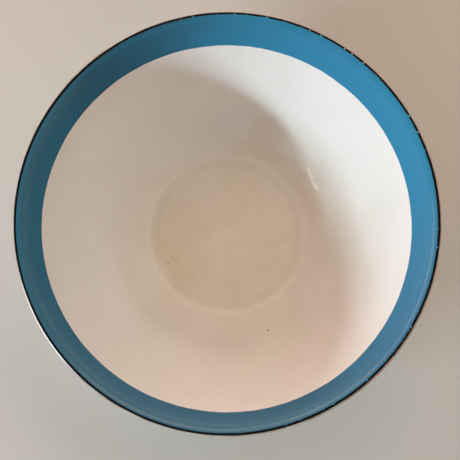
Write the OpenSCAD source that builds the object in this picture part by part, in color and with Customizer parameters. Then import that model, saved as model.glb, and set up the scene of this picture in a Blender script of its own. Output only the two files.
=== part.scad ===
// Enamelled steel basin: one pressed sheet-steel bowl with its rim rolled outwards into a
// bead, fired with a dark ground coat and a white cover coat on both faces, a blue band
// round the inside of the mouth and a thin black edging on the rim.
// Sizes are in millimetres. The origin is the middle of the standing ring, on the table.

/* [Bowl] */
// Outside diameter over the rolled rim
rim_d = 280; // [250:1:340]
// Overall height, from the table to the crest of the rim
height = 86; // [72:1:104]
// Lean of the wall from upright just under the rim, in degrees
rim_lean = 6; // [2:0.5:14]
// Lean of the wall from upright where it meets the knuckle, in degrees
wall_lean = 46; // [36:1:52]
// Radius of the knuckle between wall and floor, on the outside of the steel
knuckle_r = 40; // [20:1:60]
// Slope of the floor between foot and knuckle, in degrees
floor_slope = 8; // [4:0.5:10]

/* [Foot] */
// Outside diameter of the flat standing ring
foot_d = 110; // [80:1:126]
// Width of the flat standing ring
ring_w = 6; // [3:0.5:14]
// Height of the pressed step from the standing ring to the floor
step_h = 1; // [0.6:0.1:3.6]
// Radius of the two bends in the step, on the outside of the steel
step_bend_r = 6; // [2:0.1:8]
// Rise of the middle of the base above the standing ring
base_rise = 1.2; // [0.4:0.1:3]

/* [Sheet and coats] */
// Thickness of the sheet steel
steel_t = 0.8; // [0.5:0.05:1]
// Thickness of the ground coat on each face
ground_t = 0.2; // [0.15:0.05:0.3]
// Thickness of the white cover coat on each face
white_t = 0.3; // [0.2:0.05:0.5]
// Thickness of the blue band over the white
band_t = 0.2; // [0.15:0.05:0.3]
// Thickness of the black edging over the white
edging_t = 0.2; // [0.15:0.05:0.3]

/* [Rim and band] */
// Outside diameter of the rolled bead, in bare steel
bead_d = 3; // [2.4:0.1:6]
// Radius of the shoulder from the wall up to the crest, on the outside of the steel
shoulder_r = 3.1; // [2:0.1:6]
// Depth of the band's lower edge below the crest of the rim
band_depth = 32; // [12:1:56]
// How far short of the crest the band stops on the shoulder, in degrees
band_short = 8; // [2:1:20]
// How far the edging reaches past the crest of the bead, in degrees
edging_turn = 30; // [20:1:60]

/* [Hidden] */

// How far a chord may stand off its arc along the wall's line
chord = 0.02;

// Faces of the coats, as distances inwards from the outside face of the steel
steel_face = steel_t;
ground_face = steel_face + ground_t;
white_face = ground_face + white_t;
band_face = white_face + band_t;
edging_face = white_face + edging_t;
outer_ground_face = -ground_t;
outer_white_face = outer_ground_face - white_t;

// The inside of the bowl is to the left of the wall's line, which runs from the axis outwards.
// A point of the line is a place and the direction in which the coats build up inwards there.
function turn(a) = [cos(a), sin(a)];
function steps(r, a) = max(2, ceil(abs(a) / (2 * acos(1 - chord / r))));
function arc(c, r, a0, a1, side, n) =
    [for (i = [0 : n]) let (u = turn(a0 + (a1 - a0) * i / n)) [c + r * u, side * u]];
// An arc that bends upwards has its centre inside the bowl, and one that bends down outside
function bend_up(c, r, a0, a1) = arc(c, r, a0, a1, -1, steps(r, a1 - a0));
function bend_down(c, r, a0, a1) = arc(c, r, a0, a1, 1, steps(r + band_face, a1 - a0));
function rest(line) = [for (i = [1 : len(line) - 1]) line[i]];

// Base: two equal arcs from the raised middle down to the standing ring
ring_z = -outer_white_face;
foot_r = foot_d / 2;
ring_in_r = foot_r - ring_w;
base_slope = 2 * atan(base_rise / ring_in_r);
base_arc_r = ring_in_r / (2 * sin(base_slope));
base_top = [0, ring_z + base_rise - base_arc_r];
base_edge = [ring_in_r, ring_z + base_arc_r];

// Step: one bend up from the standing ring and one back down onto the sloping floor
step_slope = acos((1 + cos(floor_slope) - step_h / step_bend_r) / 2);
step_low = [foot_r, ring_z + step_bend_r];
step_high = step_low + 2 * step_bend_r * turn(step_slope - 90);
floor_start = step_high + step_bend_r * turn(90 + floor_slope);

// Rim: a wide shoulder leads from the wall up to the crest, and a tighter bead curls on from
// there and ends under its own middle
bead_r = bead_d / 2 - steel_t;
bead_cover_r = bead_r + white_face;
bead = [rim_d / 2 - bead_cover_r, height - bead_r - edging_face];
shoulder = bead + [0, bead_r - shoulder_r];
wall_top = shoulder + shoulder_r * turn(180 - rim_lean);

// Wall: one arc from the rim down to the knuckle, whose radius makes the two ends meet
floor_up = turn(90 + floor_slope);
drop = (wall_top - floor_start) * floor_up;
rim_sine = sin(rim_lean + floor_slope);
wall_sine = sin(wall_lean + floor_slope);
wall_r = (drop - knuckle_r * (1 - wall_sine)) / (wall_sine - rim_sine);
wall_c = wall_top + wall_r * turn(180 - rim_lean);
knuckle = wall_c - (wall_r - knuckle_r) * turn(180 - wall_lean);

base_line = concat(
    bend_down(base_top, base_arc_r, 90, 90 - base_slope),
    rest(bend_up(base_edge, base_arc_r, -90 - base_slope, -90))
);
step_line = concat(
    bend_up(step_low, step_bend_r, -90, step_slope - 90),
    rest(bend_down(step_high, step_bend_r, 90 + step_slope, 90 + floor_slope))
);
wall_line = concat(
    bend_up(knuckle, knuckle_r, floor_slope - 90, -wall_lean),
    rest(bend_up(wall_c, wall_r, -wall_lean, -rim_lean))
);
bowl_line = concat(base_line, step_line, wall_line);
shoulder_line = bend_down(shoulder, shoulder_r, 180 - rim_lean, 90 + band_short);
edging_line = concat(
    bend_down(shoulder, shoulder_r, 90 + band_short, 90),
    rest(bend_down(bead, bead_r, 90, 90 - edging_turn))
);
curl_line = bend_down(bead, bead_r, 90 - edging_turn, -90);
sheet_line = concat(bowl_line, rest(shoulder_line), rest(edging_line), rest(curl_line));

// Band: the wall's line from the height of the band's lower edge up to just short of the crest
band_z = height - band_depth;
function white_z(p) = p[0][1] + white_face * p[1][1];
band_at = [
    for (i = [0 : len(wall_line) - 2])
        if (white_z(wall_line[i]) < band_z && white_z(wall_line[i + 1]) >= band_z) i
][0];
band_low = wall_line[band_at];
band_next = wall_line[band_at + 1];
band_part = (band_z - white_z(band_low)) / (white_z(band_next) - white_z(band_low));
band_line = concat(
    [band_low + band_part * (band_next - band_low)],
    [for (p = wall_line) if (white_z(p) > band_z + chord) p],
    rest(shoulder_line)
);

// A coat or the sheet itself: the space between two faces along a line, turned round the axis
module skin(line, from, to) {
    rotate_extrude($fn = 180)
        polygon(concat(
            [for (p = line) p[0] + from * p[1]],
            [for (i = [len(line) - 1 : -1 : 0]) line[i][0] + to * line[i][1]]
        ));
}

module steel_shell() {
    color("slategray")
        skin(sheet_line, 0, steel_face);
}

module inner_ground_coat() {
    color("midnightblue")
        skin(sheet_line, steel_face, ground_face);
}

module outer_ground_coat() {
    color("midnightblue")
        skin(bowl_line, outer_ground_face, 0);
}

module white_lining() {
    color([0.93, 0.92, 0.90])
        skin(sheet_line, ground_face, white_face);
}

module white_outer_coat() {
    color([0.93, 0.92, 0.90])
        skin(bowl_line, outer_white_face, outer_ground_face);
}

module blue_band() {
    color([0.24, 0.54, 0.70])
        skin(band_line, white_face, band_face);
}

module rim_edging() {
    color([0.05, 0.05, 0.06])
        skin(edging_line, white_face, edging_face);
}

steel_shell();
inner_ground_coat();
outer_ground_coat();
white_lining();
white_outer_coat();
blue_band();
rim_edging();
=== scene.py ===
# %% [markdown]
# # A white enamel basin with a blue band
# The basin is one steel pressing with glass fired on it in coats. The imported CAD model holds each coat
# as a thin, perfect solid. This lesson keeps the steel and the two dark ground coats as they are, because
# they lie under the rest, and makes the four coats that show again, with what a hand-finished and
# long-used basin has: a brushed edge, slight waves in the white, knocks, stains and rub marks.

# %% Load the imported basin
import math

import bmesh
import bpy
import numpy as np
from mathutils import Matrix, Quaternion, Vector


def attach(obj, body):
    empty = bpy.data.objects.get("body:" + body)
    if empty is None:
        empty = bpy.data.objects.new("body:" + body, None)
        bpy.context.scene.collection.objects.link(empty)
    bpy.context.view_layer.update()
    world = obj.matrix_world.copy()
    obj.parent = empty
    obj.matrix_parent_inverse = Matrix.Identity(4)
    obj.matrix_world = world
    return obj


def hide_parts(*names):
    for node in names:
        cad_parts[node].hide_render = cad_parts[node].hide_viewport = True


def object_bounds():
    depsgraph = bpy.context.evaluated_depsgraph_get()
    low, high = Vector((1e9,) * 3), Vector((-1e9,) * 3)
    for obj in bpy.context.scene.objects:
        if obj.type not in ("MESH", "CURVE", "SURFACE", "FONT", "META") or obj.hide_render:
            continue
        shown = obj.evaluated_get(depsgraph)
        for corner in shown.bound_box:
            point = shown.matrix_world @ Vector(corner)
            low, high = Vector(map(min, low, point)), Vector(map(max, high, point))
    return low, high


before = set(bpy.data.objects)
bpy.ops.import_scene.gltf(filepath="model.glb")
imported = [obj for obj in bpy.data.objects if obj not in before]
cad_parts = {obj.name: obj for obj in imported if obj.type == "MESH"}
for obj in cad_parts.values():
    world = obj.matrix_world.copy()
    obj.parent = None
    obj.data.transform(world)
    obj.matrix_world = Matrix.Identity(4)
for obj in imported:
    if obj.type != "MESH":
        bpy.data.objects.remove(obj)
cad_low, cad_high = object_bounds()
MM = 0.001
print("CAD box in mm:", [round(v / MM, 2) for v in (*cad_low, *cad_high)])

# %% [markdown]
# ## The camera
# The basin is seen from above, a little from the front. The rim, the band's lower edge and the ring
# round the base are circles at three depths, and only one camera puts all three where they are seen.
# The slant is small, so the camera is turned by hand with three axes: a tracking helper would use the
# upright as its guide, and the upright runs almost straight into this lens.

# %% Place the camera
CAMERA_REACH = 602.5 * MM
CAMERA_SLANT = math.radians(7.875)
AIM_ASIDE = (1.76 * MM, -7.96 * MM)
LENS = 72.39
SENSOR = 36.0

rim_middle = Vector((0, 0, cad_high.z))
eye = rim_middle + CAMERA_REACH * Vector((0, -math.sin(CAMERA_SLANT), math.cos(CAMERA_SLANT)))
look = (rim_middle + Vector((*AIM_ASIDE, 0)) - eye).normalized()
right = look.cross(Vector((0, 1, 0))).normalized()
up = right.cross(look)

overhead = bpy.data.cameras.new("overhead_camera")
overhead.lens = LENS
overhead.sensor_width = SENSOR
camera = bpy.data.objects.new("overhead_camera", overhead)
camera.matrix_world = Matrix.Translation(eye) @ Matrix((right, up, -look)).transposed().to_4x4()
bpy.context.scene.collection.objects.link(camera)
bpy.context.scene.camera = camera
print("camera stands at, mm:", [round(v / MM, 1) for v in eye])

# %% [markdown]
# ## Light
# Low light from a row of windows on the front left throws the rim's soft shadow over the floor of the
# basin, and a warm room fills the shade. The row is seen from one side, so its far end looks lower: a wide
# and shallow area lamp hangs a little askew, with a dim one below its end. So the shadow is crisp at its
# tip and soft at its sides. Three large, soft lamps stand for the lit walls of the room, and a long, low
# one for the pale skyline that the polished shoulder of the rim mirrors. A single lamp and a grey world
# would do for the shape, but not for the warm shade. A lamp's level is the share of white that it gives a
# white card facing it, which keeps colours as written.

# %% Hang the lamps


def hang_lamp(name, azimuth, elevation, reach, size, colour, level, askew=0.0):
    """Hangs an area lamp that faces the middle of the rim, turned askew by some degrees."""
    lamp = bpy.data.lights.new(name, "AREA")
    lamp.shape = "RECTANGLE"
    lamp.size = size[0]
    lamp.size_y = size[1]
    lamp.color = colour
    lamp.energy = level * math.pi ** 2 * reach ** 2
    lamp_object = bpy.data.objects.new(name, lamp)
    flat = reach * math.cos(math.radians(elevation))
    away = Vector((
        flat * math.cos(math.radians(azimuth)),
        flat * math.sin(math.radians(azimuth)),
        reach * math.sin(math.radians(elevation)),
    ))
    lamp_object.location = rim_middle + away
    facing = (-away).to_track_quat("-Z", "Y") @ Quaternion((0, 0, 1), math.radians(askew))
    lamp_object.rotation_euler = facing.to_euler()
    bpy.context.scene.collection.objects.link(lamp_object)
    print(f"{name}: {lamp.energy:.1f} W at {reach} m")


hang_lamp(
    "low_window", azimuth=208, elevation=19.7, reach=2.2, size=(1.0, 0.05), colour=(0.793, 0.957, 1.0),
    level=0.731, askew=-4.5)
hang_lamp(
    "far_window", azimuth=226, elevation=17.4, reach=2.2, size=(0.80, 0.08), colour=(0.30, 0.63, 1.0),
    level=0.103, askew=-8.0)
hang_lamp(
    "warm_wall", azimuth=137, elevation=22, reach=2.0, size=(3.4, 1.5), colour=(1.0, 0.567, 0.385),
    level=0.749)
hang_lamp(
    "pale_wall", azimuth=52, elevation=45, reach=2.0, size=(2.4, 1.5), colour=(1.0, 0.79, 0.614),
    level=0.645)
hang_lamp(
    "front_wall", azimuth=270, elevation=35, reach=2.0, size=(1.5, 1.5), colour=(1.0, 0.73, 0.525),
    level=0.348)
hang_lamp(
    "skyline", azimuth=125, elevation=10, reach=2.0, size=(5.0, 0.45), colour=(0.8, 0.95, 1.0),
    level=0.22)

# %% Light the room
ROOM_LIGHT = (0.08, 0.068, 0.056, 1.0)
BACKDROP = (0.82, 0.80, 0.76, 1.0)

room = bpy.data.worlds.new("room")
room.use_nodes = True
bpy.context.scene.world = room
room_nodes = room.node_tree
room_nodes.nodes.clear()
sees = room_nodes.nodes.new("ShaderNodeLightPath")
glow = room_nodes.nodes.new("ShaderNodeBackground")
glow.inputs["Color"].default_value = ROOM_LIGHT
pale = room_nodes.nodes.new("ShaderNodeBackground")
pale.inputs["Color"].default_value = BACKDROP
choice = room_nodes.nodes.new("ShaderNodeMixShader")
sky = room_nodes.nodes.new("ShaderNodeOutputWorld")
room_nodes.links.new(sees.outputs["Is Camera Ray"], choice.inputs[0])
room_nodes.links.new(glow.outputs[0], choice.inputs[1])
room_nodes.links.new(pale.outputs[0], choice.inputs[2])
room_nodes.links.new(choice.outputs[0], sky.inputs["Surface"])

bpy.context.scene.view_settings.view_transform = "Standard"
print(f"room light {ROOM_LIGHT[:3]}, backdrop {BACKDROP[:3]}")

# %% [markdown]
# ## The line of the sheet
# Every coat follows the same pressed line, from the middle of the base out to the curl of the rim. It
# could be read off the CAD mesh, but that mesh is cut into facets, so the line is drawn again from the
# few sizes that made it. A row of the line is a radius, a height and the direction in which the coats
# build up inwards, so that any face of any coat is the line moved along that direction.

# %% Sizes of the pressing
RIM_LEAN = 6.0
WALL_LEAN = 46.0
KNUCKLE_R = 40.0 * MM
FLOOR_SLOPE = 8.0
FOOT_R = 55.0 * MM
RING_WIDTH = 6.0 * MM
STEP_HEIGHT = 1.0 * MM
STEP_BEND_R = 6.0 * MM
BASE_RISE = 1.2 * MM
STEEL = 0.8 * MM
GROUND = 0.2 * MM
WHITE = 0.3 * MM
BAND = 0.2 * MM
EDGING = 0.2 * MM
BEAD_R = 0.7 * MM
SHOULDER_R = 3.1 * MM
BAND_DEPTH = 32.0 * MM
BAND_SHORT = 8.0
EDGING_TURN = 30.0

ground_face = STEEL + GROUND
white_face = ground_face + WHITE
edging_face = white_face + EDGING
outer_ground_face = -GROUND
outer_white_face = outer_ground_face - WHITE
rim_r = min(-cad_low.x, -cad_low.y, cad_high.x, cad_high.y)
crest_z = cad_high.z
print(f"rim {2 * rim_r / MM:.2f} mm across, {crest_z / MM:.2f} mm high")

# %% Arcs and straights of the line
ROWS_MEET = 1e-7


def toward(angle):
    """Unit direction at an angle in degrees, as radius and height."""
    return np.array((math.cos(math.radians(angle)), math.sin(math.radians(angle))))


def bend(centre, radius, start, end, side, steps, ease=1.0):
    """Rows along one arc. start and end may hold an angle for every azimuth."""
    share = np.linspace(0.0, 1.0, steps + 1) ** ease
    start = np.atleast_1d(np.asarray(start, float))[:, None]
    end = np.atleast_1d(np.asarray(end, float))[:, None]
    angle = np.radians(start + (end - start) * share)
    out = np.stack((np.cos(angle), np.sin(angle)), axis=-1)
    return np.concatenate((centre + radius * out, side * out), axis=-1)


def straight(first, last, steps):
    """Rows between the end of one arc and the start of the next, without those two."""
    share = np.linspace(0.0, 1.0, steps + 1)[1:-1, None]
    return first[:, -1:] * (1 - share) + last[:, :1] * share


def join(*lines):
    """One line from several, each leaving out the row where it meets the one before."""
    turns = max(line.shape[0] for line in lines)
    rows = []
    for line in lines:
        line = np.broadcast_to(line, (turns, *line.shape[1:]))
        meets = bool(rows) and np.allclose(rows[-1][:, -1, :2], line[:, 0, :2], atol=ROWS_MEET)
        rows.append(line[:, 1:] if meets else line)
    return np.concatenate(rows, axis=1)


# %% Find the middles of the arcs
ring_z = -outer_white_face
ring_in_r = FOOT_R - RING_WIDTH
base_slope = 2 * math.degrees(math.atan(BASE_RISE / ring_in_r))
base_arc_r = ring_in_r / (2 * math.sin(math.radians(base_slope)))
base_top = np.array((0.0, ring_z + BASE_RISE - base_arc_r))
base_edge = np.array((ring_in_r, ring_z + base_arc_r))

floor_cos = math.cos(math.radians(FLOOR_SLOPE))
step_slope = math.degrees(math.acos((1 + floor_cos - STEP_HEIGHT / STEP_BEND_R) / 2))
step_low = np.array((FOOT_R, ring_z + STEP_BEND_R))
step_high = step_low + 2 * STEP_BEND_R * toward(step_slope - 90)
floor_start = step_high + STEP_BEND_R * toward(90 + FLOOR_SLOPE)

bead = np.array((rim_r - BEAD_R - white_face, crest_z - BEAD_R - edging_face))
shoulder = bead + np.array((0.0, BEAD_R - SHOULDER_R))
wall_top = shoulder + SHOULDER_R * toward(180 - RIM_LEAN)
drop = (wall_top - floor_start) @ toward(90 + FLOOR_SLOPE)
rim_sine = math.sin(math.radians(RIM_LEAN + FLOOR_SLOPE))
wall_sine = math.sin(math.radians(WALL_LEAN + FLOOR_SLOPE))
wall_r = (drop - KNUCKLE_R * (1 - wall_sine)) / (wall_sine - rim_sine)
wall_middle = wall_top + wall_r * toward(180 - RIM_LEAN)
knuckle = wall_middle - (wall_r - KNUCKLE_R) * toward(180 - WALL_LEAN)
print(f"wall radius {wall_r / MM:.1f} mm")

# %% Draw the line from the middle of the base to the curl
BASE_STEPS = 16
RING_STEPS = 5
STEP_STEPS = 8
FLOOR_STEPS = 20
KNUCKLE_STEPS = 24
WALL_STEPS = 52
SHOULDER_STEPS = 20
BEAD_STEPS = 24

base_line = join(
    bend(base_top, base_arc_r, 90, 90 - base_slope, 1, BASE_STEPS),
    bend(base_edge, base_arc_r, -90 - base_slope, -90, -1, BASE_STEPS),
)
ring_and_step = join(
    bend(step_low, STEP_BEND_R, -90, step_slope - 90, -1, STEP_STEPS),
    bend(step_high, STEP_BEND_R, 90 + step_slope, 90 + FLOOR_SLOPE, 1, STEP_STEPS),
)
knuckle_line = bend(knuckle, KNUCKLE_R, FLOOR_SLOPE - 90, -WALL_LEAN, -1, KNUCKLE_STEPS)
wall_line = bend(wall_middle, wall_r, -WALL_LEAN, -RIM_LEAN, -1, WALL_STEPS)
shoulder_line = bend(shoulder, SHOULDER_R, 180 - RIM_LEAN, 90, 1, SHOULDER_STEPS)
bead_line = bend(bead, BEAD_R, 90, -90, 1, BEAD_STEPS)
bowl_line = join(
    base_line,
    straight(base_line, ring_and_step, RING_STEPS),
    ring_and_step,
    straight(ring_and_step, knuckle_line, FLOOR_STEPS),
    knuckle_line,
    wall_line,
)
sheet_line = join(bowl_line, shoulder_line, bead_line)
print(f"{sheet_line.shape[1]} rows from the middle to the curl")

# %% [markdown]
# ## Spinning a coat
# Blender's Screw modifier could spin a profile, but here the profile differs a little at every azimuth:
# brushed edges wander and enamel ripples. So a coat is two grids of points, one for the face that shows
# and one for its back, joined along their ends into one closed mesh. The back needs fewer rows.

# %% Helpers that spin a coat
BACK_STRIDE = 4
POLE_SIZE = 1e-9
SAME_POINT = 1e-8
SHARP_ANGLE = 50


def azimuths(turns):
    """Azimuths of the rows of a coat, as a column in radians."""
    return np.linspace(0.0, 2 * math.pi, turns, endpoint=False)[:, None]


def face_points(line, depth, turns):
    """Points of a coat's face that lies at a depth from the outside of the steel."""
    place = line[..., :2] + np.asarray(depth)[..., None] * line[..., 2:]
    place = np.broadcast_to(place, (turns, *place.shape[1:]))
    turn = azimuths(turns)
    return np.stack((place[..., 0] * np.cos(turn), place[..., 0] * np.sin(turn), place[..., 1]), axis=-1)


def grid_quads(turns, rows, first):
    """Quads of one grid of points whose numbers start at first."""
    here = first + np.arange(turns)[:, None] * rows + np.arange(rows - 1)
    there = first + (np.arange(turns)[:, None] + 1) % turns * rows + np.arange(rows - 1)
    return np.stack((here, here + 1, there + 1, there), axis=-1).reshape(-1, 4)


def spin_coat(name, front, back):
    """A closed coat between two grids of points, smooth-shaded, with its poles merged."""
    turns = front.shape[0]
    grids = (front, back)
    firsts = (0, front.shape[0] * front.shape[1])
    faces = [grid_quads(turns, grid.shape[1], first) for grid, first in zip(grids, firsts)]
    for end in (0, -1):
        ring_front = np.arange(turns) * front.shape[1] + end % front.shape[1]
        ring_back = firsts[1] + np.arange(turns) * back.shape[1] + end % back.shape[1]
        if np.ptp(front[:, end], axis=0).max() > POLE_SIZE:
            faces.append(np.stack(
                (ring_front, np.roll(ring_front, -1), np.roll(ring_back, -1), ring_back), axis=-1))
    points = np.concatenate([grid.reshape(-1, 3) for grid in grids])
    mesh = bpy.data.meshes.new(name)
    mesh.from_pydata(points.tolist(), [], np.concatenate(faces).tolist())
    shaper = bmesh.new()
    shaper.from_mesh(mesh)
    bmesh.ops.remove_doubles(shaper, verts=shaper.verts, dist=SAME_POINT)
    bmesh.ops.recalc_face_normals(shaper, faces=shaper.faces)
    shaper.to_mesh(mesh)
    shaper.free()
    mesh.shade_smooth()
    mesh.set_sharp_from_angle(angle=math.radians(SHARP_ANGLE))
    coat = bpy.data.objects.new(name, mesh)
    bpy.context.scene.collection.objects.link(coat)
    print(f"{name}: {len(mesh.vertices)} points, {len(mesh.polygons)} faces")
    return coat


# %% [markdown]
# ## The white lining
# The lining is the white glass inside, which runs on round the curl of the rim. Fired enamel settles in
# waves of some hundredths of a millimetre, which show only where light grazes them. They are a sum of
# plane waves through space, so they have no seam. While it is soft it also runs into the crease of the
# pressed step and off its crown, so the step shows as a soft rise and not as a line. A knock from outside
# has pushed a low swell into the foot of the wall, just where the rim's shadow ends.

# %% Waves of fired enamel
LINING_TURNS = 360
WAVE_COUNT = 12
WAVE_SWING = 0.009 * MM
WAVE_SHORT = 14 * MM
WAVE_LONG = 45 * MM
WAVES_END = crest_z - 5 * MM
WAVES_FADE = 8 * MM
WAVE_SEED = 11

wave_dice = np.random.default_rng(WAVE_SEED)
wave_ways = wave_dice.normal(size=(WAVE_COUNT, 3))
wave_ways /= np.linalg.norm(wave_ways, axis=1, keepdims=True)
wave_numbers = 2 * math.pi / wave_dice.uniform(WAVE_SHORT, WAVE_LONG, WAVE_COUNT)
wave_starts = wave_dice.uniform(0, 2 * math.pi, WAVE_COUNT)


def enamel_waves(points):
    """Small rise and fall of fired enamel at points in space, fading out below the rim."""
    swing = np.zeros(points.shape[:-1])
    for way, number, start in zip(wave_ways, wave_numbers, wave_starts):
        swing += WAVE_SWING * np.sin(number * (points @ way) + start)
    fade = np.clip((WAVES_END - points[..., 2]) / WAVES_FADE, 0, 1)
    return swing * fade


print(f"{WAVE_COUNT} waves of {WAVE_SWING / MM:.3f} mm")

# %% The knock, and the enamel that ran off the step
# Each low swell: azimuth in degrees and radius of both ends, then half width and height
KNOCKS = (
    ((39.5, 77.6 * MM), (31.7, 74.6 * MM), 2.4 * MM, 0.30 * MM),
    ((31.7, 74.6 * MM), (25.4, 74.3 * MM), 2.4 * MM, 0.25 * MM),
)
POOL_R = 55.4 * MM
POOL_WIDTH = 2.2 * MM
POOL_DEEP = 0.33 * MM
CROWN_R = 58.6 * MM
CROWN_WIDTH = 1.8 * MM
CROWN_THIN = 0.10 * MM


def knock_swell(points):
    """Height of the swell that the knock raised, by the distance from its line."""
    rise = np.zeros(points.shape[:-1])
    for (first_at, first_r), (last_at, last_r), half_width, height in KNOCKS:
        first = first_r * toward(first_at)
        run = last_r * toward(last_at) - first
        share = np.clip((points[..., :2] - first) @ run / (run @ run), 0, 1)
        off = np.linalg.norm(points[..., :2] - first - share[..., None] * run, axis=-1)
        rise = np.maximum(rise, height * np.exp(-(off / half_width) ** 2))
    return rise


def pooled(points):
    """Enamel that ran into the crease of the step and off its crown while it was soft."""
    radius = np.hypot(points[..., 0], points[..., 1])
    pool = POOL_DEEP * np.exp(-((radius - POOL_R) / POOL_WIDTH) ** 2)
    return pool - CROWN_THIN * np.exp(-((radius - CROWN_R) / CROWN_WIDTH) ** 2)


# %% Spin the white lining
even_white = face_points(sheet_line, white_face, LINING_TURNS)
lining_depth = white_face + enamel_waves(even_white) + knock_swell(even_white) + pooled(even_white)
basin_lining = spin_coat(
    "basin_lining",
    face_points(sheet_line, lining_depth, LINING_TURNS),
    face_points(sheet_line[:, ::-BACK_STRIDE][:, ::-1], ground_face, LINING_TURNS),
)
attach(basin_lining, "root")
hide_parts("white_lining")

# %% [markdown]
# ## The white outside
# The outside coat covers the wall, the step, the standing ring and the slightly raised base. It is spun
# from the same line with its depth on the other side of the sheet, and ripples in the same way, except
# on the standing ring, which has to lie flat on a table.

# %% Spin the outer coat
OUTSIDE_TURNS = 300
FLAT_BELOW = 1.2 * MM
FLAT_FADE = 4 * MM

even_outside = face_points(bowl_line, outer_white_face, OUTSIDE_TURNS)
off_table = np.clip((even_outside[..., 2] - FLAT_BELOW) / FLAT_FADE, 0, 1)
outside_depth = outer_white_face + enamel_waves(even_outside) * off_table
basin_outside = spin_coat(
    "basin_outside",
    face_points(bowl_line, outside_depth, OUTSIDE_TURNS),
    face_points(bowl_line[:, ::-BACK_STRIDE][:, ::-1], outer_ground_face, OUTSIDE_TURNS),
)
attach(basin_outside, "root")
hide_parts("white_outer_coat")

# %% [markdown]
# ## The black edging and its nicks
# The edging is a line of black brushed over the crest of the rim. Its edges wander by a tenth of a
# millimetre or two, it is wider where the brush was loaded, and the rim has been knocked, so the line is
# nicked and broken along the back and the right. Wander is a sum of waves that close round the rim, and
# each nick pulls the line's inner edge outwards over a short stretch, down to the pale enamel below. The
# places of the large nicks are listed, and small ones are strewn between them by seeded dice. The rim's
# section changes from a wide to a tight arc at the crest, so places on it are measured in millimetres past
# the crest and not in degrees.

# %% Nicks of the edging
EDGING_TURNS = 1800
# Each nick: azimuth in degrees, length along the rim and the share of the line's width that is gone
NICKS = (
    (99.5, 1.4 * MM, 0.6), (93.0, 0.9 * MM, 0.5), (88.0, 1.3 * MM, 0.6), (84.5, 0.8 * MM, 0.4),
    (79.0, 2.0 * MM, 0.6), (69.0, 1.6 * MM, 0.4), (66.5, 1.0 * MM, 0.7), (63.0, 1.4 * MM, 0.7),
    (55.5, 1.2 * MM, 0.8), (53.0, 1.4 * MM, 0.8), (49.0, 1.4 * MM, 0.85), (29.5, 1.4 * MM, 0.8),
    (24.5, 1.4 * MM, 0.9), (-8.0, 1.4 * MM, 0.6), (-31.0, 1.6 * MM, 0.6), (-34.0, 1.0 * MM, 0.5),
    (-49.5, 1.4 * MM, 0.5), (-60.5, 1.6 * MM, 0.5),
)
SMALL_NICKS = 44
# Where the small nicks lie in degrees, their lengths in millimetres and the shares that they take
SMALL_NICK_SPAN = (-80.0, 122.0)
SMALL_NICK_LENGTHS = (0.6, 1.4)
SMALL_NICK_SHARES = (0.15, 0.45)
EDGING_SEED = 29

edging_dice = np.random.default_rng(EDGING_SEED)
edging_azimuth = azimuths(EDGING_TURNS)[:, 0]


def nick(at, length, share):
    """Share of the line's width that one nick takes at every azimuth."""
    off = np.angle(np.exp(1j * (edging_azimuth - math.radians(at)))) * rim_r
    return share * np.exp(-(2 * off / length) ** 4)


nick_share = np.zeros(EDGING_TURNS)
for at, length, share in NICKS:
    nick_share = np.maximum(nick_share, nick(at, length, share))
for _ in range(SMALL_NICKS):
    at = edging_dice.uniform(*SMALL_NICK_SPAN)
    length = edging_dice.uniform(*SMALL_NICK_LENGTHS) * MM
    nick_share = np.maximum(nick_share, nick(at, length, edging_dice.uniform(*SMALL_NICK_SHARES)))
print(f"edging: {np.mean(nick_share > 0.5) * 360:.1f} degrees of the rim nicked more than half through")

# %% Sway and wander of the brush
# Each slow sway: cycles round the rim, azimuth in degrees where it is furthest out, and swing
SWAYS = ((2, 55.0, 0.145 * MM), (4, 86.5, 0.18 * MM))
# Each wide stretch: azimuth and half length in degrees, and the width added inwards
WIDE_STRETCHES = ((0.0, 24.0, 0.35 * MM), (290.0, 14.0, 0.25 * MM), (150.0, 18.0, 0.25 * MM))
INNER_WANDER = 0.05 * MM
OUTER_WANDER = 0.06 * MM
WANDER_CYCLES = (23, 61, 97, 139, 211, 283, 347)
WANDER_SHARES = (0.4, 1.0)
NICK_DEPTH = 0.97


def sway(azimuth):
    """How far the brush strayed outwards on its way round the rim."""
    return sum(swing * np.cos(cycles * (azimuth - math.radians(at))) for cycles, at, swing in SWAYS)


def widening(azimuth):
    """Width that the loaded brush added to the line's inner edge."""
    added = np.zeros(len(azimuth))
    for at, half_length, width in WIDE_STRETCHES:
        off = np.degrees(np.angle(np.exp(1j * (azimuth - math.radians(at)))))
        added += width * np.exp(-(off / half_length) ** 2)
    return added


def wander(amount):
    """A line that strays to both sides by about an amount and closes round the rim."""
    stray = np.zeros(EDGING_TURNS)
    for cycles in WANDER_CYCLES:
        start = edging_dice.uniform(0, 2 * math.pi)
        stray += edging_dice.uniform(*WANDER_SHARES) * np.sin(cycles * edging_azimuth + start)
    return amount * stray / math.sqrt(len(WANDER_CYCLES))


edging_from = -math.radians(BAND_SHORT) * (SHOULDER_R + white_face)
edging_to = math.radians(EDGING_TURN) * (BEAD_R + white_face)
edging_inner = edging_from + sway(edging_azimuth) - widening(edging_azimuth) + wander(INNER_WANDER)
edging_outer = edging_to + sway(edging_azimuth) + wander(OUTER_WANDER)
edging_inner = edging_inner + nick_share * (edging_outer - edging_inner) * NICK_DEPTH
print(f"edging: {np.mean(edging_outer - edging_inner) / MM:.2f} mm wide on average")

# %% Spin the edging
EDGING_STEPS = 12
SUNK = 0.05 * MM
EDGING_ROUND = 0.14 * MM


def rounded(distance, reach):
    """Rise of a drawn-in edge: nothing at the edge, full height once past its reach."""
    inside = np.clip(1 - distance / reach, 0, 1)
    return np.sqrt(1 - inside ** 2)


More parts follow.
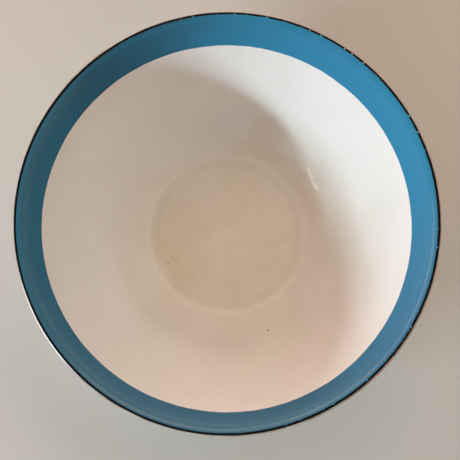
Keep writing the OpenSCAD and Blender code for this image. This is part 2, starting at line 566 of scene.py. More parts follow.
def rim_rows(past):
    """Rows of the rim at distances past its crest, measured along the white."""
    before = past < 0
    centre = np.where(before[..., None], shoulder, bead)
    radius = np.where(before, SHOULDER_R, BEAD_R)[..., None]
    angle = math.pi / 2 - past / (radius[..., 0] + white_face)
    out = np.stack((np.cos(angle), np.sin(angle)), axis=-1)
    return np.concatenate((centre + radius * out, out), axis=-1)


edging_share = np.linspace(0.0, 1.0, EDGING_STEPS + 1)
edging_width = (edging_outer - edging_inner)[:, None]
edging_line = rim_rows(edging_inner[:, None] + edging_width * edging_share)
from_edge = np.minimum(edging_share, 1 - edging_share) * edging_width
edging_depth = white_face - SUNK + (EDGING + SUNK) * rounded(from_edge, EDGING_ROUND)
rim_line = spin_coat(
    "rim_line",
    face_points(edging_line, edging_depth, EDGING_TURNS),
    face_points(edging_line[:, ::BACK_STRIDE], white_face - 2 * SUNK, EDGING_TURNS),
)
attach(rim_line, "root")
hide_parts("rim_edging")

# %% [markdown]
# ## The blue band
# The band is sprayed over the fired white through a template, from a clean line inside the mouth up to
# the crest of the rim, and fired again. Surface tension draws its lower edge in to a round lip. Its line
# is a wall arc and the rim's shoulder, with rows crowded near the lip by easing the steps, so that the lip
# is real geometry and catches light. It lies a little lower than the black, which is brushed over its end.

# %% Line of the blue band
BAND_TURNS = 720
BAND_WALL_STEPS = 34
BAND_CURL_STEPS = 18
BAND_EASE = 1.6
BAND_WANDER = 0.06 * MM
BAND_CYCLES = (3, 7, 16, 31, 74)
BAND_TILT = 0.5 * MM
BAND_UNDER = 0.8 * MM
BAND_SEED = 5

band_dice = np.random.default_rng(BAND_SEED)
band_azimuth = azimuths(BAND_TURNS)[:, 0]
band_stray = -BAND_TILT * np.cos(band_azimuth)
for cycles in BAND_CYCLES:
    band_stray += BAND_WANDER * np.sin(cycles * band_azimuth + band_dice.uniform(0, 2 * math.pi))
white_wall_r = wall_r - white_face
low_rise = (crest_z - BAND_DEPTH - wall_middle[1] + band_stray) / white_wall_r
band_low = np.degrees(np.arcsin(low_rise))
shoulder_from = -math.radians(90 - RIM_LEAN) * (SHOULDER_R + white_face)
band_to = edging_from + sway(band_azimuth)[:, None] + BAND_UNDER
up_shoulder = np.linspace(0.0, 1.0, BAND_CURL_STEPS + 1)
band_line = join(
    bend(wall_middle, wall_r, band_low, -RIM_LEAN, -1, BAND_WALL_STEPS, ease=BAND_EASE),
    rim_rows(shoulder_from + (band_to - shoulder_from) * up_shoulder),
)
print(f"band: {band_line.shape[1]} rows from its lip to the crest")

# %% Spin the blue band
BAND_LIP = 0.55 * MM
BAND_TOP_LIP = BAND_LIP / 3
BAND_SUNK = 0.04 * MM

even_band = face_points(band_line, white_face, BAND_TURNS)
band_steps = np.linalg.norm(np.diff(even_band, axis=1), axis=-1)
up_the_band = np.concatenate((np.zeros((BAND_TURNS, 1)), np.cumsum(band_steps, axis=1)), axis=1)
low_lip = rounded(up_the_band, BAND_LIP)
top_lip = rounded(up_the_band[:, -1:] - up_the_band, BAND_TOP_LIP)
lip = np.minimum(low_lip, top_lip)
band_depth = white_face - SUNK + (BAND - BAND_SUNK + SUNK) * lip + enamel_waves(even_band)
mouth_band = spin_coat(
    "mouth_band",
    face_points(band_line, band_depth, BAND_TURNS),
    face_points(band_line[:, ::-BACK_STRIDE][:, ::-1], white_face - 2 * SUNK, BAND_TURNS),
)
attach(mouth_band, "root")
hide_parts("blue_band")

# %% [markdown]
# ## Helpers for finishes
# A finish is a tree of nodes, and most of the code that builds one says which socket gets what. A few
# small helpers keep that short: one feeds a socket with a link or a plain value, one adds a node, and
# others do a step of arithmetic, mix two colours, or open a node group with named inputs and outputs.

# %% Node helpers
NOWHERE = (0.0, 0.0, 0.0)


def feed(tree, socket, value):
    """Links an output to a socket, or sets a plain value on it."""
    if isinstance(value, bpy.types.NodeSocket):
        tree.links.new(value, socket)
    else:
        socket.default_value = value


def add(tree, kind, sockets, **settings):
    """Adds a node, sets it up and feeds its sockets, which are named or numbered."""
    node = tree.nodes.new(kind)
    for name, value in settings.items():
        setattr(node, name, value)
    for name, value in sockets.items():
        feed(tree, node.inputs[name], value)
    return node


def math_step(tree, operation, first, second=0.0, third=0.0):
    """One step of arithmetic on values that change over the surface."""
    return add(tree, "ShaderNodeMath", {0: first, 1: second, 2: third}, operation=operation).outputs[0]


def times(tree, first, second):
    """The product of two values."""
    return math_step(tree, "MULTIPLY", first, second)


def vector_step(tree, operation, first, second=NOWHERE):
    """One step of arithmetic on vectors. Output 0 is a vector and output 1 a value."""
    return add(tree, "ShaderNodeVectorMath", {0: first, 1: second}, operation=operation).outputs


def between(tree, value, low, high, to_low=0.0, to_high=1.0):
    """Eases a value from one range into another, held at both ends."""
    sockets = {"Value": value, "From Min": low, "From Max": high, "To Min": to_low, "To Max": to_high}
    return add(tree, "ShaderNodeMapRange", sockets, interpolation_type="SMOOTHSTEP").outputs[0]


def falling(tree, value, low, high):
    """Eases a value from 1 down to 0 over a range."""
    return between(tree, value, low, high, 1.0, 0.0)


def blend(tree, share, first, second, way="MIX"):
    """Mixes two colours by a share."""
    node = add(tree, "ShaderNodeMix", {0: share, 6: first, 7: second}, data_type="RGBA", blend_type=way)
    return node.outputs[2]


# %% Helpers for node groups


def open_group(name, inputs, outputs):
    """A node group with named inputs, given with their defaults, and named outputs."""
    tree = bpy.data.node_groups.new(name, "ShaderNodeTree")
    for label, default in inputs.items():
        kind = "NodeSocketVector" if isinstance(default, tuple) else "NodeSocketFloat"
        socket = tree.interface.new_socket(label, in_out="INPUT", socket_type=kind)
        socket.default_value = default
    for label in outputs:
        tree.interface.new_socket(label, in_out="OUTPUT", socket_type="NodeSocketFloat")
    print(f"node group {name}: {', '.join(inputs)} to {', '.join(outputs)}")
    return tree, tree.nodes.new("NodeGroupInput").outputs, tree.nodes.new("NodeGroupOutput").inputs


def use_group(tree, group, sockets):
    """Places a node group in a material and returns its outputs."""
    return add(tree, "ShaderNodeGroup", sockets, node_tree=group).outputs


def per_metre(tree, size):
    """How often a size goes into a metre, which is the scale of a texture with that size."""
    return math_step(tree, "DIVIDE", 1.0, size)


def noise(tree, place, scale, detail, roughness):
    """Soft noise through space."""
    return add(tree, "ShaderNodeTexNoise", {
        "Vector": place, "Scale": scale, "Detail": detail, "Roughness": roughness}).outputs[0]


# %% [markdown]
# ## Effects that the enamels share
# Fired glass has a fine peel and soft clouds of tone. Use adds rub marks that run round the bowl, hair
# scratches, stained rings and spots, and dark iron specks were there from the kiln. The ring and spot
# masks also carry painted shade and painted light. Each is a node group that puts out a mask or a height,
# so that every enamel takes the same effect with its own values. All of them work from the place in the
# object's own space in metres, so they keep their real size and need no unwrapping.

# %% Group: peel and clouds of fired enamel
enamel_skin, given, gives = open_group(
    "enamel_skin", {"Place": NOWHERE, "Peel Size": 2.5 * MM, "Cloud Size": 40 * MM}, ("Height", "Cloud"))
peel_scale = per_metre(enamel_skin, given["Peel Size"])
peel = noise(enamel_skin, given["Place"], peel_scale, detail=2.0, roughness=0.45)
feed(enamel_skin, gives["Height"], peel)
cloud_scale = per_metre(enamel_skin, given["Cloud Size"])
cloud = noise(enamel_skin, given["Place"], cloud_scale, detail=4.0, roughness=0.55)
feed(enamel_skin, gives["Cloud"], cloud)

# %% Group: rub marks round the bowl
LEVEL = (1.0, 1.0, 0.0)
RUB_EDGE = 0.12

round_rub, given, gives = open_group(
    "round_rub", {"Place": NOWHERE, "Line Width": 1.2 * MM, "Sweep": 2.5, "Rarity": 0.58}, ("Mark",))
flat_place = vector_step(round_rub, "MULTIPLY", given["Place"], LEVEL)[0]
from_axis = vector_step(round_rub, "LENGTH", flat_place)[1]
heading = vector_step(round_rub, "NORMALIZE", flat_place)[0]
swept = add(round_rub, "ShaderNodeVectorMath", {0: heading, "Scale": given["Sweep"]}, operation="SCALE")
lines = math_step(round_rub, "DIVIDE", from_axis, given["Line Width"])
stacked = add(round_rub, "ShaderNodeCombineXYZ", {2: lines}).outputs[0]
rub_place = vector_step(round_rub, "ADD", swept.outputs[0], stacked)[0]
clear_of = math_step(round_rub, "ADD", given["Rarity"], RUB_EDGE)
rub_noise = noise(round_rub, rub_place, scale=1.0, detail=2.0, roughness=0.6)
feed(round_rub, gives["Mark"], between(round_rub, rub_noise, given["Rarity"], clear_of))

# %% Group: hair scratches
HAIR_EDGE = 0.1
# Each lay of scratches: its turn about the three axes in radians, and how far it is drawn out
HAIR_LAYS = (((0.4, 0.2, 0.5), 0.02), ((-0.3, 0.6, 2.1), 0.03), ((0.9, -0.4, 1.2), 0.025))

hair_scratches, given, gives = open_group(
    "hair_scratches", {"Place": NOWHERE, "Hair Width": 0.3 * MM, "Rarity": 0.62}, ("Scratch",))
fine = per_metre(hair_scratches, given["Hair Width"])
clear_of = math_step(hair_scratches, "ADD", given["Rarity"], HAIR_EDGE)
scratched = 0.0
for lay, stretch in HAIR_LAYS:
    laid = add(hair_scratches, "ShaderNodeMapping", {
        "Vector": given["Place"], "Rotation": lay, "Scale": (stretch, 1.0, 1.0)})
    hair = noise(hair_scratches, laid.outputs[0], fine, detail=1.0, roughness=0.4)
    layer = between(hair_scratches, hair, given["Rarity"], clear_of)
    scratched = math_step(hair_scratches, "MAXIMUM", scratched, layer)
feed(hair_scratches, gives["Scratch"], scratched)

# %% Group: iron specks
SPECK_CORE = 0.4

iron_specks, given, gives = open_group(
    "iron_specks", {"Place": NOWHERE, "Spacing": 9 * MM, "Speck Size": 0.25 * MM, "Share": 0.2}, ("Speck",))
cells = add(iron_specks, "ShaderNodeTexVoronoi", {
    "Vector": given["Place"], "Scale": per_metre(iron_specks, given["Spacing"])}).outputs
chance = add(iron_specks, "ShaderNodeSeparateColor", {0: cells["Color"]}).outputs[0]
chosen = math_step(iron_specks, "LESS_THAN", chance, given["Share"])
speck_reach = math_step(iron_specks, "DIVIDE", given["Speck Size"], given["Spacing"])
speck_core = times(iron_specks, speck_reach, SPECK_CORE)
dot = falling(iron_specks, cells["Distance"], speck_core, speck_reach)
feed(iron_specks, gives["Speck"], times(iron_specks, dot, chosen))

# %% Group: a patchy ring, for wear and stains and for painted shade and light
PATCH_RANGE = (0.35, 0.65)

ring_mask, given, gives = open_group(
    "ring_mask",
    {"Place": NOWHERE, "Inner": 0.0, "Outer": 50 * MM, "Soft Edge": 4 * MM, "Patch Size": 12 * MM,
     "Patchiness": 0.5},
    ("In Ring",))
flat_place = vector_step(ring_mask, "MULTIPLY", given["Place"], LEVEL)[0]
ring_r = vector_step(ring_mask, "LENGTH", flat_place)[1]
inner_foot = math_step(ring_mask, "SUBTRACT", given["Inner"], given["Soft Edge"])
outer_foot = math_step(ring_mask, "ADD", given["Outer"], given["Soft Edge"])
past_inner = between(ring_mask, ring_r, inner_foot, given["Inner"])
short_of_outer = falling(ring_mask, ring_r, given["Outer"], outer_foot)
in_ring = times(ring_mask, past_inner, short_of_outer)
patch_scale = per_metre(ring_mask, given["Patch Size"])
patches = noise(ring_mask, given["Place"], patch_scale, detail=4.0, roughness=0.6)
least = math_step(ring_mask, "SUBTRACT", 1.0, given["Patchiness"])
patch = between(ring_mask, patches, *PATCH_RANGE)
broken = math_step(ring_mask, "MULTIPLY_ADD", patch, given["Patchiness"], least)
feed(ring_mask, gives["In Ring"], times(ring_mask, in_ring, broken))

# %% Group: a mark at one place
MARK_CORE = 0.45

mark_at, given, gives = open_group(
    "mark_at", {"Place": NOWHERE, "Centre": NOWHERE, "Reach": 0.5 * MM}, ("Mark",))
off_mark = vector_step(mark_at, "DISTANCE", given["Place"], given["Centre"])[1]
mark_core = times(mark_at, given["Reach"], MARK_CORE)
feed(mark_at, gives["Mark"], falling(mark_at, off_mark, mark_core, given["Reach"]))

# %% Group: a low scarp along a short line
SCARP_END = 1.8 * MM

scarp, given, gives = open_group(
    "scarp",
    {"Place": NOWHERE, "First": NOWHERE, "Along": NOWHERE, "Across": NOWHERE, "Length": 5 * MM,
     "Width": 1 * MM, "Fall": 15 * MM},
    ("Face", "Rise"))
off_first = vector_step(scarp, "SUBTRACT", given["Place"], given["First"])[0]
way = vector_step(scarp, "DOT_PRODUCT", off_first, given["Along"])[1]
past = vector_step(scarp, "DOT_PRODUCT", off_first, given["Across"])[1]
sets_in = between(scarp, way, -SCARP_END, SCARP_END)
length_left = math_step(scarp, "SUBTRACT", given["Length"], way)
on_run = times(scarp, sets_in, between(scarp, length_left, -SCARP_END, SCARP_END))
foot = times(scarp, given["Width"], -1.0)
up_to_line = between(scarp, past, foot, 0.0)
off_line = falling(scarp, past, 0.0, given["Width"])
climb = between(scarp, past, foot, given["Width"])
ebb = falling(scarp, past, given["Width"], given["Fall"])
feed(scarp, gives["Face"], times(scarp, times(scarp, up_to_line, off_line), on_run))
feed(scarp, gives["Rise"], times(scarp, times(scarp, climb, ebb), on_run))

# %% [markdown]
# ## The finish of the white lining
# The white is a slightly dulled glass. Tea-coloured stain has spread from the base up the foot of the
# wall, further to the front right, and lies heaviest in the pressed base. The crease of the step is darker,
# with dirt and painted shade, and the crown beside it is paler on the front left as a painted highlight.
# At the back right a painted shadow darkens the floor just inside the crisp edge of the rim's shadow.
# Spoons and scouring have left arcs and paler patches, and one paler patch on the front right is painted
# light at the lit edge of that shadow. A few dark specks sit where bare iron came through, and the steep
# side of the knocked swell, which faces the low window, is painted paler as a highlight. The outside of
# the curl of the rim is painted dark brown as shade, except on the front left, where it faces the low
# window. One picture of it all would be quick to paint, but it would blur close up, so each mark is a mask
# at its real place and size that goes into the colour. The rubbed places are also a little rougher.

# %% Helpers that open and close a finish


def open_finish(name, coat):
    """A fresh material on a coat: its tree, its main shader and its place in space."""
    finish = bpy.data.materials.new(name)
    finish.use_nodes = True
    tree = finish.node_tree
    shader = tree.nodes["Principled BSDF"]
    place = tree.nodes.new("ShaderNodeTexCoord").outputs["Object"]
    if coat.material_slots:
        coat.material_slots[0].material = finish
    else:
        coat.data.materials.append(finish)
    print(f"finish {name} on {coat.name}")
    return tree, shader, place


def roughen(tree, shader, skin, least, drift, rubs=()):
    """Roughness that drifts with the clouds of tone, and rises by a share of each rubbed mask."""
    rough = math_step(tree, "MULTIPLY_ADD", skin["Cloud"], drift, least)
    for mask, more in rubs:
        rough = math_step(tree, "MULTIPLY_ADD", mask, more, rough)
    feed(tree, shader.inputs["Roughness"], rough)


def press_bump(tree, shader, height, depth):
    """Feeds a height into the shader's normal through a bump node."""
    bump = add(tree, "ShaderNodeBump", {"Height": height, "Distance": depth, "Strength": 1.0})
    feed(tree, shader.inputs["Normal"], bump.outputs[0])


# %% Helpers that place marks


def on_lining(azimuth, radius):
    """The place on the white lining at an azimuth in degrees and a radius."""
    rows = bowl_line.shape[1]
    height = float(np.interp(radius, even_white[0, :rows, 0], even_white[0, :rows, 2]))
    turn = math.radians(azimuth)
    return (radius * math.cos(turn), radius * math.sin(turn), height)


def on_crest(azimuth):
    """The place at the rim's edge, level with its crest, at an azimuth in degrees."""
    return (*(rim_r * toward(azimuth)), crest_z)


def spot(tree, place, centre, reach):
    """Mask of a mark at one place."""
    return use_group(tree, mark_at, {"Place": place, "Centre": centre, "Reach": reach})["Mark"]


def masked_ring(tree, place, inner, outer, soft_edge, patch_size, patchiness):
    """Mask of a patchy ring, for wear and stains and for painted shade and light."""
    return use_group(tree, ring_mask, {
        "Place": place, "Inner": inner, "Outer": outer, "Soft Edge": soft_edge, "Patch Size": patch_size,
        "Patchiness": patchiness})["In Ring"]


def side_share(tree, place, azimuth):
    """How far a place lies to one side: 1 at the rim there and -1 at the rim across."""
    side = (*(toward(azimuth) / rim_r), 0.0)
    return vector_step(tree, "DOT_PRODUCT", place, side)[1]


def rising(tree, place, azimuth, start, full, most):
    """A share that rises from nothing to its most towards one side."""
    return between(tree, side_share(tree, place, azimuth), start, full, 0.0, most)


def tint(tree, tone, mask, share, colour):
    """Tints a tone with a colour by a share of a mask."""
    return blend(tree, times(tree, mask, share), tone, colour, "MULTIPLY")


def cover(tree, tone, mask, share, colour):
    """Covers a tone with a colour by a share of a mask."""
    return blend(tree, times(tree, mask, share), tone, colour)


# %% Lining: white, clouds and tea stain
LINING_WHITE = (0.82, 0.825, 0.825, 1.0)
LINING_CLOUD = (0.79, 0.79, 0.78, 1.0)
CLOUD_RANGE = (0.35, 0.7)
TEA_STAIN = (0.955, 0.86, 0.67, 1.0)
# Here and below, a ring is its inner and outer radius, soft edge, patch size and patchiness
STAINED_BASE = (0.0, 46 * MM, 12 * MM, 22 * MM, 0.3)
STAINED_BASE_SHARE = 0.25
# Each wider stain: azimuth in degrees, radius, reach and share
STAINS = ((320, 18 * MM, 110 * MM, 0.4), (208, 60 * MM, 36 * MM, 0.22))

tree, shader, place = open_finish("lining_enamel", basin_lining)
skin = use_group(tree, enamel_skin, {"Place": place, "Peel Size": 3 * MM, "Cloud Size": 45 * MM})
tone = blend(tree, between(tree, skin["Cloud"], *CLOUD_RANGE), LINING_WHITE, LINING_CLOUD)
stained = times(tree, masked_ring(tree, place, *STAINED_BASE), STAINED_BASE_SHARE)
for azimuth, radius, reach, share in STAINS:
    spread = spot(tree, place, on_lining(azimuth, radius), reach)
    stained = math_step(tree, "MULTIPLY_ADD", spread, share, stained)
tone = blend(tree, stained, tone, TEA_STAIN, "MULTIPLY")

# %% Lining: dirt, painted shade and highlight at the step, and a painted shadow edge
DIRT_AND_CREASE_SHADE = (0.62, 0.52, 0.42, 1.0)
CROWN_PAINTED_HIGHLIGHT = (0.90, 0.87, 0.80, 1.0)
SHADOW_EDGE_SHADE = (0.88, 0.78, 0.70, 1.0)
BLOTCHES = (0.0, 44 * MM, 8 * MM, 7 * MM, 1.0)
BLOTCH_SHARE = 0.06
CREASE_DIRT_AND_SHADE = (51.0 * MM, 54.4 * MM, 2.4 * MM, 14 * MM, 0.3)
CREASE_SHARE = 0.14
TEA_LINE = (54.5 * MM, 56.5 * MM, 2.0 * MM, 14 * MM, 0.4)
# Here and below, a side is its azimuth in degrees, where an effect starts and is full on the way towards
# it, and the share there
TEA_LINE_SIDE = (250, -0.1, 0.2, 0.18)
LIT_CROWN_RING = (58.3 * MM, 59.7 * MM, 1.8 * MM, 18 * MM, 0.4)
LIT_CROWN_RING_SIDE = (235, -0.2, 0.05, 0.3)
SHADOW_EDGE_RING = (63 * MM, 71 * MM, 6 * MM, 20 * MM, 0.3)
SHADOW_EDGE_MIDDLE = (47, 68 * MM)
SHADOW_EDGE_REACH = 60 * MM
SHADOW_EDGE_END = (68, 79 * MM)
SHADOW_EDGE_END_REACH = 20 * MM
SHADOW_EDGE_END_SHARE = 0.7
SHADOW_EDGE_SHARE = 0.6

tone = tint(tree, tone, masked_ring(tree, place, *BLOTCHES), BLOTCH_SHARE, DIRT_AND_CREASE_SHADE)
# Dirt and painted shade: the crease of the step is darker.
tone = tint(tree, tone, masked_ring(tree, place, *CREASE_DIRT_AND_SHADE), CREASE_SHARE, DIRT_AND_CREASE_SHADE)
in_front = rising(tree, place, *TEA_LINE_SIDE)
tone = tint(tree, tone, masked_ring(tree, place, *TEA_LINE), in_front, TEA_STAIN)
# Painted highlight: the crown of the step is paler towards the front left.
lit_crown_side = rising(tree, place, *LIT_CROWN_RING_SIDE)
tone = cover(tree, tone, masked_ring(tree, place, *LIT_CROWN_RING), lit_crown_side, CROWN_PAINTED_HIGHLIGHT)
# Painted shadow: the floor just inside the crisp edge of the rim's shadow at the back right is darker.
shadow_edge_spot = spot(tree, place, on_lining(*SHADOW_EDGE_MIDDLE), SHADOW_EDGE_REACH)
shadow_edge_shade_mask = times(tree, masked_ring(tree, place, *SHADOW_EDGE_RING), shadow_edge_spot)
shadow_edge_end_mask = times(tree, spot(tree, place, on_lining(*SHADOW_EDGE_END), SHADOW_EDGE_END_REACH), SHADOW_EDGE_END_SHARE)
shadow_edge_shade_mask = math_step(tree, "MAXIMUM", shadow_edge_shade_mask, shadow_edge_end_mask)
tone = tint(tree, tone, shadow_edge_shade_mask, SHADOW_EDGE_SHARE, SHADOW_EDGE_SHADE)
print(f"painted shadow-edge shade from {SHADOW_EDGE_RING[0] / MM:.0f} to {SHADOW_EDGE_RING[1] / MM:.0f} mm off the axis")

# %% Lining: scoured patches, a painted-light patch, rub arcs and hair scratches
SCOURED_AND_LIT_PALE = (0.88, 0.885, 0.88, 1.0)
RUB_TONE = (0.90, 0.88, 0.85, 1.0)
# Each patch: azimuth in degrees, radius, reach and share; the last is painted light, the others scouring
SCOURS_AND_LIT_PATCH = (
    (205, 78 * MM, 34 * MM, 0.5),
    (240, 66 * MM, 38 * MM, 0.12),
    (265, 16 * MM, 24 * MM, 0.25),
    (125, 36 * MM, 28 * MM, 0.2),
    (326, 92 * MM, 32 * MM, 0.35),
)
RUB_ZONE = (62 * MM, 94 * MM, 8 * MM, 12 * MM, 0.8)
RUB_SHARE = 0.3
HAIR_SHARE = 0.12

# The last patch is painted light at the lit edge of the rim's shadow on the front right.
for azimuth, radius, reach, share in SCOURS_AND_LIT_PATCH:
    tone = cover(tree, tone, spot(tree, place, on_lining(azimuth, radius), reach), share, SCOURED_AND_LIT_PALE)
rub = use_group(tree, round_rub, {"Place": place, "Line Width": 1.6 * MM, "Sweep": 2.2, "Rarity": 0.56})
rubbed = times(tree, rub["Mark"], masked_ring(tree, place, *RUB_ZONE))
tone = tint(tree, tone, rubbed, RUB_SHARE, RUB_TONE)
hairs = use_group(tree, hair_scratches, {"Place": place, "Hair Width": 0.35 * MM, "Rarity": 0.66})
tone = tint(tree, tone, hairs["Scratch"], HAIR_SHARE, DIRT_AND_CREASE_SHADE)
print(f"{len(SCOURS_AND_LIT_PATCH)} scoured patches")

# %% Lining: dark specks
SPECK_BROWN = (0.05, 0.03, 0.02, 1.0)
# Each dark speck: azimuth in degrees, radius, reach and darkness
SPECKS = (
    (-67.4, 77.5 * MM, 0.75 * MM, 1.0),
    (-152.7, 49.0 * MM, 0.7 * MM, 0.8),
    (84.3, 46.7 * MM, 0.6 * MM, 0.4),
    (-93.3, 29.2 * MM, 0.6 * MM, 0.4),
    (-89.2, 67.5 * MM, 0.6 * MM, 0.25),
)
KILN_DARKNESS = 0.35

kiln = use_group(tree, iron_specks, {
    "Place": place, "Spacing": 11 * MM, "Speck Size": 0.3 * MM, "Share": 0.08})
dark = times(tree, kiln["Speck"], KILN_DARKNESS)
for azimuth, radius, reach, darkness in SPECKS:
    speck = spot(tree, place, on_lining(azimuth, radius), reach)
    dark = math_step(tree, "MAXIMUM", dark, times(tree, speck, darkness))
tone = blend(tree, dark, tone, SPECK_BROWN)
print(f"{len(SPECKS)} dark specks")

# %% Lining: painted highlight on the steep side of the knocked swell
SCARP_PAINTED_HIGHLIGHT = (0.96, 0.94, 0.89, 1.0)
SCARP_WIDTHS = (1.8 * MM, 2.3 * MM)

lit_scarp_face = 0.0
climbs = 0.0
for (first, last, _, _), width in zip(KNOCKS, SCARP_WIDTHS):
    start = Vector(on_lining(*first))
    run = Vector(on_lining(*last)) - start
    across = Vector((-run.y, run.x, 0.0)).normalized()
    across = across if across.dot(start) > 0 else -across
    edge = use_group(tree, scarp, {
        "Place": place, "First": tuple(start), "Along": tuple(run.normalized()), "Across": tuple(across),
        "Length": run.length, "Width": width})
    lit_scarp_face = math_step(tree, "MAXIMUM", lit_scarp_face, edge["Face"])
    climbs = math_step(tree, "MAXIMUM", climbs, edge["Rise"])
    print(f"scarp with painted highlight {run.length / MM:.1f} mm long")
# Painted highlight: the steep face of the swell, which faces the low window, is paler.
tone = blend(tree, lit_scarp_face, tone, SCARP_PAINTED_HIGHLIGHT)

# %% Lining: painted shade on the curl, gloss and relief
CURL_PAINTED_SHADE = (0.16, 0.115, 0.085, 1.0)
SHADED_CURL_RING = (138.8 * MM, 150 * MM, 0.4 * MM, 14 * MM, 0.4)
CURL_HEIGHTS = (82.4 * MM, 83.8 * MM)
CURL_SHADE_SHARE = 0.85
LIT_CURL_AZIMUTH = 211
LIT_CURL_REACH = 42 * MM
LIT_CURL_SHARE = 0.7
SCARP_RISE = 0.8 * MM
PEEL_SHARE = 0.026

height = add(tree, "ShaderNodeSeparateXYZ", {0: place}).outputs[2]
# Painted shade: the outside of the curl is dark brown, much less on the front left where it faces the low
# window.
shaded_curl = times(tree, masked_ring(tree, place, *SHADED_CURL_RING), between(tree, height, *CURL_HEIGHTS))
lit_curl = spot(tree, place, on_crest(LIT_CURL_AZIMUTH), LIT_CURL_REACH)
curl_shade_left = math_step(tree, "MULTIPLY_ADD", lit_curl, -LIT_CURL_SHARE, CURL_SHADE_SHARE)
tone = cover(tree, tone, shaded_curl, curl_shade_left, CURL_PAINTED_SHADE)
feed(tree, shader.inputs["Base Color"], tone)
roughen(tree, shader, skin, least=0.40, drift=0.16, rubs=[(rubbed, 0.12)])
shader.inputs["Specular IOR Level"].default_value = 0.2
relief = math_step(tree, "MULTIPLY_ADD", skin["Height"], PEEL_SHARE, climbs)
press_bump(tree, shader, relief, depth=SCARP_RISE)
print(f"lining finish: {len(tree.nodes)} nodes")

# %% [markdown]
# ## The finish of the outside
# The outside has seen less scouring, so it is glossier. It is worn where it stands: the ring under the
# foot is rubbed grey, with dark chips along its edge, and a few scuffs run round the belly. The same
# groups as inside serve here with other values, which is why they were built as groups.

# %% Finish of the outer coat
OUTSIDE_WHITE = (0.80, 0.795, 0.77, 1.0)
OUTSIDE_CLOUD = (0.77, 0.76, 0.73, 1.0)
TABLE_RUB = (0.30, 0.29, 0.28, 1.0)
CHIP_DARK = (0.03, 0.03, 0.035, 1.0)
STANDING_RING = (49.5 * MM, 54.8 * MM, 0.8 * MM, 5 * MM, 0.85)
STANDING_SHARE = 0.55
SCUFF_SHARE = 0.10
FOOT_EDGE = (54.5 * MM, 57.0 * MM, 0.6 * MM, 20 * MM, 1.0)
OUTSIDE_KILN_DARKNESS = 0.6

tree, shader, place = open_finish("outside_enamel", basin_outside)
skin = use_group(tree, enamel_skin, {"Place": place, "Peel Size": 2.6 * MM, "Cloud Size": 50 * MM})
tone = blend(tree, between(tree, skin["Cloud"], *CLOUD_RANGE), OUTSIDE_WHITE, OUTSIDE_CLOUD)
standing = masked_ring(tree, place, *STANDING_RING)
tone = cover(tree, tone, standing, STANDING_SHARE, TABLE_RUB)
scuffs = use_group(tree, round_rub, {"Place": place, "Line Width": 0.9 * MM, "Sweep": 3.5, "Rarity": 0.62})
tone = cover(tree, tone, scuffs["Mark"], SCUFF_SHARE, TABLE_RUB)
chips = use_group(tree, iron_specks, {
    "Place": place, "Spacing": 7 * MM, "Speck Size": 0.9 * MM, "Share": 0.3})
tone = cover(tree, tone, chips["Speck"], masked_ring(tree, place, *FOOT_EDGE), CHIP_DARK)
kiln = use_group(tree, iron_specks, {
    "Place": place, "Spacing": 12 * MM, "Speck Size": 0.35 * MM, "Share": 0.10})
tone = cover(tree, tone, kiln["Speck"], OUTSIDE_KILN_DARKNESS, SPECK_BROWN)
feed(tree, shader.inputs["Base Color"], tone)
hairs = use_group(tree, hair_scratches, {"Place": place, "Hair Width": 0.35 * MM, "Rarity": 0.68})
roughen(tree, shader, skin, least=0.16, drift=0.10, rubs=[(standing, 0.3), (hairs["Scratch"], 0.1)])
press_bump(tree, shader, skin["Height"], depth=0.03 * MM)

# %% [markdown]
# ## The finish of the band and the edging
# The blue is painted lighter at the back right, where the low window lights the band, and darker on the
# shaded side: painted light and shade, broken up by soft clouds. At the back left the band, and its crest
# most, are painted darker as shade. On the front a greyish painted reflection veils the blue, and the
# shoulder towards the front left is painted paler as a sheen. On the front the shoulder is also polished:
# a clear coat over the dull one mirrors the room in a thin line. A glossier blue would mirror the white
# lining as well and look grey. The black of the edging is the same kind of glass, brushed, so its tone
# runs in streaks along the rim.

# %% Band: painted light and shade on the blue
BAND_LIT_BLUE = (0.034, 0.226, 0.408, 1.0)
BAND_SHADED_BLUE = (0.031, 0.168, 0.302, 1.0)
BAND_PAINTED_SHADE = (0.90, 0.50, 0.42, 1.0)
BAND_PAINTED_VEIL = (0.075, 0.165, 0.28, 1.0)
LIT_SIDE_AZIMUTH = 30
LIT_SIDE_SHIFT = 0.3
LIT_SIDE_CLOUDS = -0.6
LIT_SIDE_RANGE = (-0.3, 0.8)
BAND_PAINTED_VEIL_SIDE = (285, -0.1, 0.6, 0.35)
SHADED_BAND_AZIMUTH = 120
SHADED_BAND_REACH = 80 * MM
SHADED_BAND_SHARE = 0.3
SHADED_CREST = (136.6 * MM, 150 * MM, 1.5 * MM, 12 * MM, 0.5)
SHADED_CREST_SHARE = 0.8

tree, shader, place = open_finish("band_enamel", mouth_band)
skin = use_group(tree, enamel_skin, {"Place": place, "Peel Size": 2.2 * MM, "Cloud Size": 30 * MM})
# Painted light and shade: the blue is lighter towards the back right, where the low window lights the band,
# and darker on the shaded side, broken up by clouds.
lit_side = math_step(tree, "ADD", side_share(tree, place, LIT_SIDE_AZIMUTH), LIT_SIDE_SHIFT)
lit_share = math_step(tree, "MULTIPLY_ADD", skin["Cloud"], LIT_SIDE_CLOUDS, lit_side)
tone = blend(tree, between(tree, lit_share, *LIT_SIDE_RANGE), BAND_SHADED_BLUE, BAND_LIT_BLUE)
# Painted reflection: a greyish veil over the blue on the front.
tone = blend(tree, rising(tree, place, *BAND_PAINTED_VEIL_SIDE), tone, BAND_PAINTED_VEIL)
